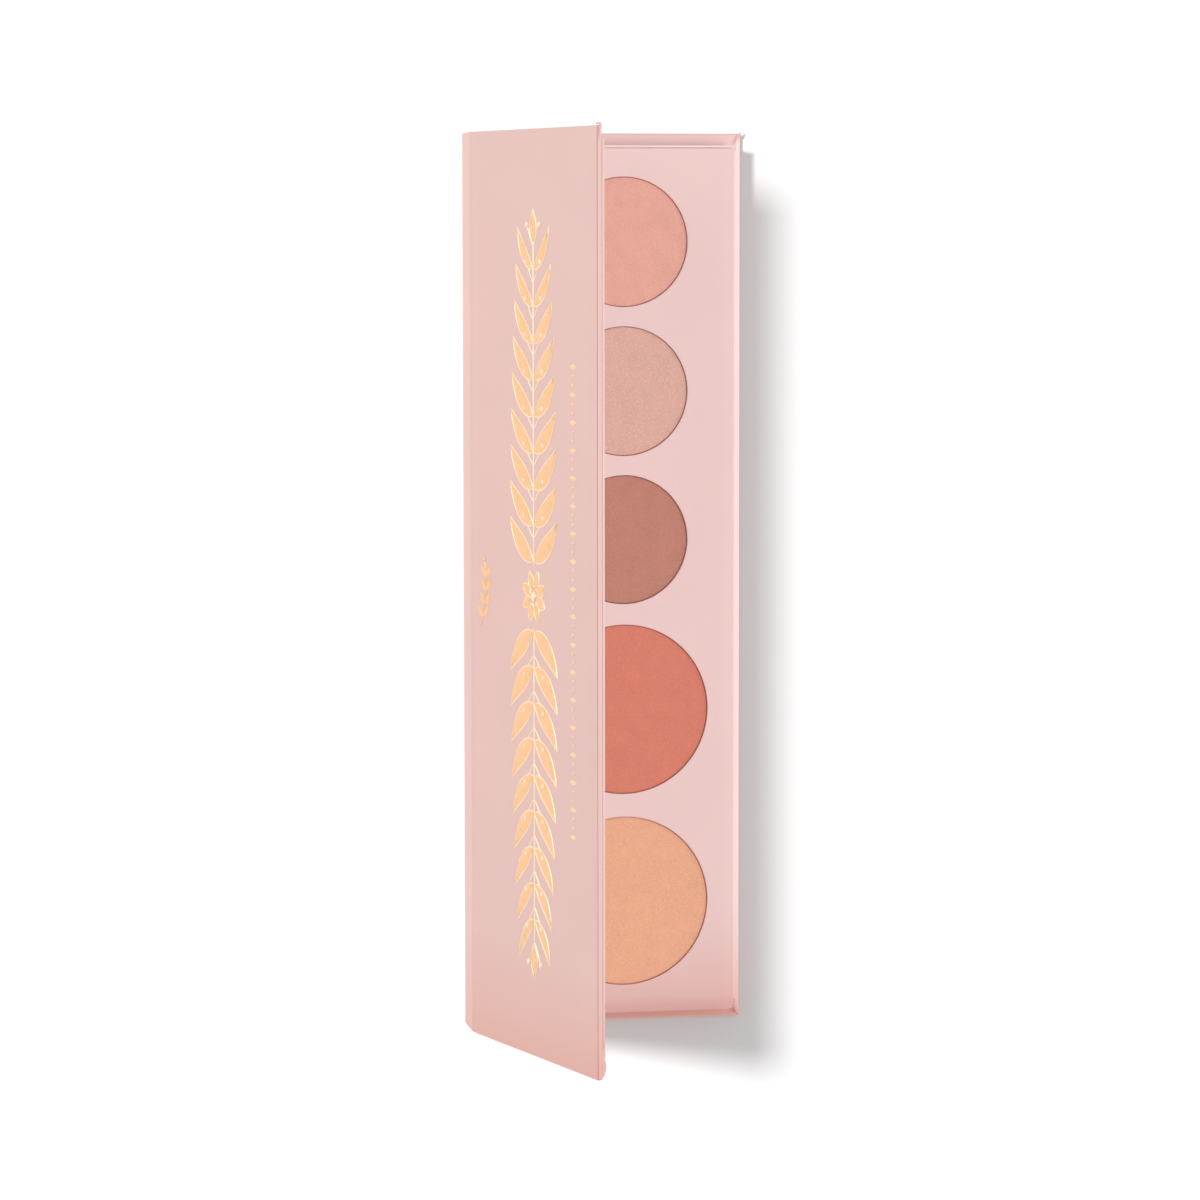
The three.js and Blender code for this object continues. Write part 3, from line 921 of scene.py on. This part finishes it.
# ---- Lid ----
def lid_section(inset):
    """The lid's board in its paper, with the crease along the free edge."""
    r = max(EDGE_R - inset, LEAST_R)
    u0, u1 = LID_BOARD[0].x - PAPER_T + inset, LID[1].x - inset
    v0, v1 = LID[0].z + inset, LID[1].z - inset
    near, far = v1 - CREASE_FROM, v1 - CREASE_FROM - CREASE_WIDTH
    corners = [
        (u0, v0, r), (u1, v0, min(r, 0.2 * MM)), (u1, far, TIGHT_R),
        (u1 - CREASE_DEPTH, (near + far) / 2, TIGHT_R), (u1, near, TIGHT_R),
        (u1, v1, min(r, CREASE_FROM * 0.7)), (u0, v1, r),
    ]
    return outline(corners, {0: 20, 5: 20})


def build_lid():
    x1, y0, y1 = LID[1].x, LID[0].y, LID[1].y
    lid = new_piece("lid_cover", [sweep(lid_section, y0, y1)], COVER, "lid",
                    ("lid_wrap",))
    settle_paper(lid, 1.3)
    new_piece("lid_turn_ins", turn_ins(LID_BOARD[0].x + EDGE_R, x1, LID[0].z, -1), COVER, "lid")

    head = ((-0.06, -3.0, -0.55), (0.10, -1.6, -0.70), (0.14, -0.5, -0.80),
            (-0.05, 0.25, -0.78), (-0.35, 0.46, -0.50), (-0.60, 0.20, -0.20))
    head_widths = (0.04, 0.16, 0.28, 0.32, 0.26, 0.08)
    tail = ((-0.30, 6.4, -0.05), (-0.16, 4.2, -0.22), (-0.10, 2.6, -0.34),
            (-0.24, 1.2, -0.16), (-0.50, 0.3, 0.15))
    tail_widths = (0.10, 0.30, 0.42, 0.34, 0.10)
    folds = [pleat((x1, y1, LID[1].z), head, head_widths, (0, 0, 1)),
             pleat((x1, y0, LID[0].z), tail, tail_widths, (0, 0, 1))]
    new_piece("lid_corner_folds", folds, COVER, "lid")


def build_liner():
    """The framed panel on the lid's inner face, with a softened window for the mirror."""
    border = MIRROR[0].x - LINER[0].x - 0.13 * MM
    panel = rounded_frame(LINER, border, LINER[1].z, LINER[0].z, edge_r=0.16 * MM,
                          outer_r=0.5 * MM, inner_r=0.3 * MM)
    new_piece("lid_liner_panel", [panel], CARD_PAPER, "lid", ("lid_liner",))


def build_mirror():
    bevel, corner = 0.12 * MM, 0.4 * MM
    back, face = MIRROR[1].z, MIRROR[0].z
    rings = [frame_ring(MIRROR, 0, corner, back), frame_ring(MIRROR, 0, corner, face + bevel),
             frame_ring(MIRROR, bevel, corner - bevel, face)]
    new_piece("mirror_plate", [loft(rings)], MIRROR_FACE, "lid", ("mirror",),
              angle=MIRROR_ANGLE)


# ---- Foil ornament: two laurel sprays, a rule of lozenges and beads, and a small sprig ----
FOIL_SINK = 0.08 * MM           # how far the film's sides reach under the paper's surface
FOIL_FOOT = 0.01 * MM           # how far over it they stand before the film slopes up
RIM_HALF = 0.17 * MM            # half-width of the rim round a leaf, in painted-highlight gold
LEAF_HEIGHT = 0.26 * MM
STROKE_HEIGHT = 0.10 * MM
SMALL_HEIGHT = 0.12 * MM        # of the rule's lozenges and the sprig's leaves
BAND = (LID[1].x * 0.33, LID[1].x * 0.70)       # the main band, across the lid
BAND_HALF_LENGTH = (LID[1].y - LID[0].y) * 0.415
RULE_X = LID[1].x * 0.82
SPRIG_X = LID[1].x * 0.115


def stamped(points, half_widths, height, flat):
    """A raised stroke on the lid's outer face, level over flat, a share of its width."""
    rings = []
    for k, (point, half) in enumerate(zip(points, half_widths)):
        side = left_of(direction(points, k))
        ridge = min(height, half * 0.7)
        profile = ((-1, -FOIL_SINK), (-1, FOIL_FOOT), (-flat, ridge), (flat, ridge),
                   (1, FOIL_FOOT), (1, -FOIL_SINK))
        ring = []
        for across, up in profile:
            p = point + side * across * half
            ring.append(Vector((p.x, p.y, up)))
        rings.append(ring)
    return loft(rings)


def bent(start, control, end, steps):
    """Points along a quadratic curve."""
    shares = [i / steps for i in range(steps + 1)]
    return [start * (1 - t) ** 2 + control * 2 * t * (1 - t) + end * t * t for t in shares]


def stroke(points, half):
    """A thin line of foil with narrowed ends."""
    widths = [half] * len(points)
    widths[0] = widths[-1] = half * 0.4
    return stamped(points, widths, STROKE_HEIGHT, 0.3)


def bead(center, radius):
    """A small round boss."""
    height = radius * 0.4
    heights = ((1, -FOIL_SINK), (1, FOIL_FOOT), (0.8, height * 0.6), (0.35, height))
    return loft([circle(center, radius * share, up, 14) for share, up in heights])


def add_leaf(fills, rims, base, tip, bow, half, steps=16):
    """A pointed leaf from base to tip, bowed sideways: its ridged middle and its rims, in lighter
    gold as a painted highlight.
    """
    control = (base + tip) / 2 + left_of((tip - base).normalized()) * bow
    middle = bent(base, control, tip, steps)
    least = 0.05 * MM
    widths = [half * math.sin(math.pi * (i / steps) ** 0.8) ** 0.9 for i in range(1, steps)]
    widths = [least] + [max(least, w) for w in widths] + [least]
    fills.append(stamped(middle, widths, LEAF_HEIGHT, 0.06))
    for way in (-1, 1):
        line = [point + left_of(direction(middle, k)) * way * width
                for k, (point, width) in enumerate(zip(middle, widths))]
        rims.append(stroke(line, RIM_HALF))


def add_spray(fills, rims, middle, half_width, root_y, tip_y, pairs):
    """A stem from root_y to tip_y with paired leaves that shorten toward the tip."""
    way = math.copysign(1, tip_y - root_y)
    pitch = abs(tip_y - root_y) / (pairs + 0.8)
    stem = [Vector((middle, y)) for y in steps_between(root_y, tip_y - way * pitch * 0.8, 30)]
    rims.append(stroke(stem, 0.34 * MM))
    for k in range(pairs):
        y = root_y + way * pitch * (k + 0.15)
        size = 1 - 0.35 * (k / (pairs - 1)) ** 2
        for side in (-1, 1):
            base = Vector((middle + side * 0.3 * MM, y))
            tip = Vector((middle + side * half_width * size, y + way * pitch * 1.15))
            add_leaf(fills, rims, base, tip, -side * way * 2.0 * MM, 2.05 * MM * size)
            berry = Vector((middle + side * half_width * 0.40 * size, y + way * pitch * 1.22))
            stalk = Vector((middle, y + way * pitch * 0.62))
            control = (stalk + berry) / 2 + Vector((0, -way * 0.5 * MM))
            rims += [stroke(bent(stalk, control, berry, 8), 0.2 * MM), bead(berry, 0.7 * MM)]
    end = Vector((middle, tip_y))
    add_leaf(fills, rims, end - Vector((0, way * pitch * 0.9)), end, 0.0, 1.5 * MM)


def add_rosette(fills, rims, center, reach, petals=8):
    """Petals round a bead."""
    rims.append(bead(center, 1.1 * MM))
    for k in range(petals):
        angle = 2 * math.pi * (k + 0.5) / petals
        way = Vector((math.cos(angle), math.sin(angle)))
        add_leaf(fills, rims, center + way * 1.4 * MM, center + way * reach, 0.0, 1.2 * MM, 10)


def beaded_rule(x, y0, y1):
    """Lozenges with two beads between them."""
    parts = []
    for i, y in enumerate(steps_between(y0, y1, 51)):
        if i % 3 == 0:
            ends = [Vector((x - 1.5 * MM, y)), Vector((x, y)), Vector((x + 1.5 * MM, y))]
            parts.append(stamped(ends, [0.06 * MM, 0.62 * MM, 0.06 * MM], SMALL_HEIGHT, 0.1))
        else:
            parts.append(bead(Vector((x, y)), 0.42 * MM))
    return parts


def sprig(x, y0, y1):
    """One curved stem with small paired leaves."""
    stem = bent(Vector((x - 1.8 * MM, y0)), Vector((x + 2.4 * MM, (y0 + y1) / 2)),
                Vector((x, y1)), 20)
    parts = [stroke(stem, 0.24 * MM)]
    for i in (3, 7, 11, 15):
        for side in (-1, 1):
            tip = stem[i] + Vector((side * 2.5 * MM, 2.4 * MM))
            middle = bent(stem[i], (stem[i] + tip) / 2 + Vector((0, -0.4 * MM)), tip, 8)
            widths = [max(0.06 * MM, 0.75 * MM * math.sin(math.pi * k / 8)) for k in range(9)]
            parts.append(stamped(middle, widths, SMALL_HEIGHT, 0.1))
    parts.append(bead(stem[-1], 0.6 * MM))
    return parts


def build_foil():
    middle, half_width = sum(BAND) / 2, (BAND[1] - BAND[0]) / 2
    rosette_reach = 5.6 * MM
    fills, rims = [], []
    add_rosette(fills, rims, Vector((middle, 0)), rosette_reach)
    for way in (-1, 1):
        add_spray(fills, rims, middle, half_width, way * (rosette_reach + 0.5 * MM),
                  way * BAND_HALF_LENGTH, 9)
    rule = beaded_rule(RULE_X, -BAND_HALF_LENGTH * 0.6, BAND_HALF_LENGTH * 0.6)
    pieces = (("foil_garland_fill", fills, GOLD), ("foil_garland_rims", rims, HIGHLIT_GOLD),
              ("foil_rule", rule, PALE_GOLD), ("foil_sprig", sprig(SPRIG_X, -8 * MM, 6 * MM), GOLD))
    for name, parts, material in pieces:
        new_piece(name, parts, material, "lid", angle=FOIL_ANGLE)


# ---- Stage, light and camera ----
SHADOW_SLOPE = Vector((0.75, -0.19, -1.0))      # the way the floor's light falls
SOFTBOXES = (                   # name, watts, place and size, in metres
    ("overhead_softbox", 4.0, (0.25, -0.03, 0.95), (0.6, 0.8)),
    ("left_softbox", 2.2, (-0.75, 0.25, 0.35), (0.4, 0.7)),
    ("right_softbox", 1.8, (0.80, 0.05, 0.30), (0.4, 0.7)),
)


def build_floor():
    half = 1.6
    mesh = bpy.data.meshes.new("floor")
    mesh.from_pydata([(-half, -half, 0), (half, -half, 0), (half, half, 0), (-half, half, 0)],
                     [], [(0, 1, 2, 3)])
    floor = bpy.data.objects.new("floor", mesh)
    floor.location.z = -0.02 * MM
    show(floor)
    material, tree, shader = new_material("pale_floor")
    tone = grain_of(tree, 0.4, 1.0)
    tree.links.new(mixed(tree, tone, (0.95, 0.95, 0.95), (0.96, 0.96, 0.96)),
                   shader.inputs["Base Color"])
    shader.inputs["Roughness"].default_value = 0.9
    shader.inputs["Specular IOR Level"].default_value = 0.1
    mesh.materials.append(material)
    return floor


def add_light(name, kind, strength, place, target, receivers):
    """A lamp that points from place to target and lights what its receivers say."""
    data = bpy.data.lights.new(name, kind)
    data.energy = strength
    lamp = bpy.data.objects.new(name, data)
    lamp.location = place
    lamp.rotation_euler = (Vector(target) - Vector(place)).to_track_quat("-Z", "Y").to_euler()
    lamp.light_linking.receiver_collection = receivers
    show(lamp)
    return data


def build_light(floor):
    """The softboxes light the palette and a broad sun lights the floor, so the standing lid
    shades the floor beside it and leaves the powders clear."""
    only_floor = bpy.data.collections.new("only_floor")
    only_floor.objects.link(floor)
    all_but_floor = bpy.data.collections.new("all_but_floor")
    all_but_floor.objects.link(floor)
    all_but_floor.collection_objects[0].light_linking.link_state = "EXCLUDE"

    world = bpy.data.worlds.new("studio")
    world.use_nodes = True
    background = world.node_tree.nodes["Background"]
    background.inputs["Color"].default_value = (1, 1, 1, 1)
    background.inputs["Strength"].default_value = 0.56
    bpy.context.scene.world = world

    sun = add_light("floor_sun", "SUN", 2.2, -SHADOW_SLOPE, (0, 0, 0), only_floor)
    sun.angle = math.radians(7)
    for name, strength, place, size in SOFTBOXES:
        softbox = add_light(name, "AREA", strength, place, (0, 0, 0.02), all_but_floor)
        softbox.shape = "RECTANGLE"
        softbox.size, softbox.size_y = size
    bpy.context.scene.view_settings.view_transform = "Standard"


def build_camera():
    place = Vector((-158.5, 71.8, 890.6)) * MM
    target = Vector((-1.84, -3.54, 8.4)) * MM
    upward = Vector((0.0157, 0.9965, -0.0823))
    data = bpy.data.cameras.new("camera")
    data.sensor_width = 36
    data.lens = 128.98
    data.clip_start = 0.01
    camera = bpy.data.objects.new("camera", data)
    back = (place - target).normalized()
    right = upward.cross(back).normalized()
    axes = Matrix((right, back.cross(right), back)).transposed().to_4x4()
    camera.matrix_world = Matrix.Translation(place) @ axes
    show(camera)
    bpy.context.scene.camera = camera


build_camera()
dress_cad_nodes()
build_case()
build_hinge_fold()
build_hinge_turn_ins()
build_hinge_ends()
build_rail()
build_lining()
build_tray_wall()
build_card()
for number, cake, pan, shade in zip(PAN_NUMBERS, CAKES, PANS, SHADES):
    build_powder(number, cake, pan, *shade)
build_lid()
build_liner()
build_mirror()
build_foil()
build_light(build_floor())
